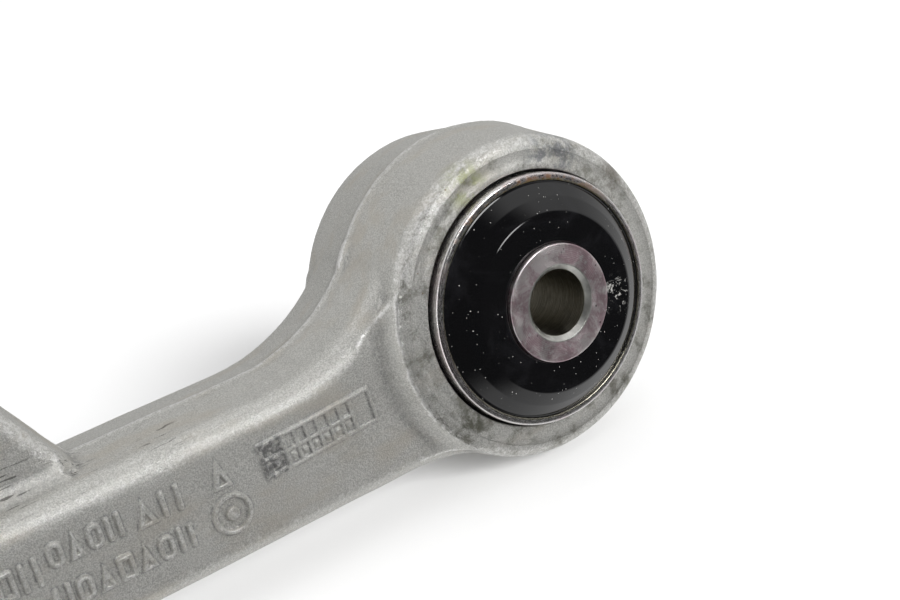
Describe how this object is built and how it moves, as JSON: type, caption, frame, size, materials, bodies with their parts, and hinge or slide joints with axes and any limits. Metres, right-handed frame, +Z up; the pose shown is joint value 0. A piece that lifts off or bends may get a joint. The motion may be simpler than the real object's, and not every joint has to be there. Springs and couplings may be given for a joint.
{
  "type": "suspension control arm",
  "caption": "Forged aluminium lower control arm with rubber bushes in its pivot and damper eyes, a stabiliser link lug and an upright ball joint under a dust boot.",
  "frame": {"origin": "centre of the pivot bush's bore", "axes": "+Y along the pivot bush's axis, +X from the ball joint towards the pivot bush, +Z up along the ball stud"},
  "size_m": [0.4047, 0.05, 0.0933],
  "materials": {
    "forged_aluminium": "shot-blasted satin with bright worn edges",
    "sleeve_steel": "drawn tube, rolled lip, light rust",
    "core_steel": "turned, faintly heat-tinted",
    "bush_rubber": "glossy moulded",
    "boot_rubber": "satin moulded",
    "seat_polymer": "moulded",
    "stud_steel": "phosphated, ball polished",
    "spring_steel": "oiled",
    "cover_steel": "zinc plated",
    "plated_steel": "zinc plated, bright",
    "slide_polymer": "moulded",
    "locking_nylon": "moulded"
  },
  "bodies": {
    "arm": {"arm_forging": "forged_aluminium", "pivot_outer_sleeve": "sleeve_steel", "pivot_rubber": "bush_rubber", "damper_outer_sleeve": "sleeve_steel", "damper_rubber": "bush_rubber", "link_sleeve": "plated_steel", "seat_upper": "seat_polymer", "seat_lower": "seat_polymer", "preload_washer": "spring_steel", "cover_plate": "cover_steel", "dust_boot": "boot_rubber", "boot_lower_clamp": "plated_steel"},
    "pivot_core": {"pivot_inner_sleeve": "core_steel"},
    "damper_core": {"damper_inner_sleeve": "core_steel"},
    "boot_head": {"slide_ring": "slide_polymer", "boot_upper_clamp": "plated_steel"},
    "stud": {"ball_stud": "stud_steel", "stud_nut": "plated_steel", "nut_locking_ring": "locking_nylon", "nut_washer": "plated_steel"}
  },
  "joints": [
    {"name": "pivot_twist", "type": "hinge", "parent": "arm", "child": "pivot_core", "pos_m": [0, 0, 0], "axis": [0, 1, 0], "range_deg": [-20, 20], "stiffness_Nm_per_rad": 57},
    {"name": "damper_twist", "type": "hinge", "parent": "arm", "child": "damper_core", "pos_m": [-0.205, 0, -0.004], "axis": [0, 1, 0], "range_deg": [-15, 15], "stiffness_Nm_per_rad": 57},
    {"name": "stud_swing", "type": "hinge", "parent": "arm", "child": "boot_head", "pos_m": [-0.35, 0, -0.009], "axis": [0, 1, 0], "range_deg": [-22, 22], "deforming": ["dust_boot"]},
    {"name": "stud_spin", "type": "hinge", "parent": "boot_head", "child": "stud", "pos_m": [-0.35, 0, -0.009], "axis": [0, 0, 1], "continuous": true}
  ]
}
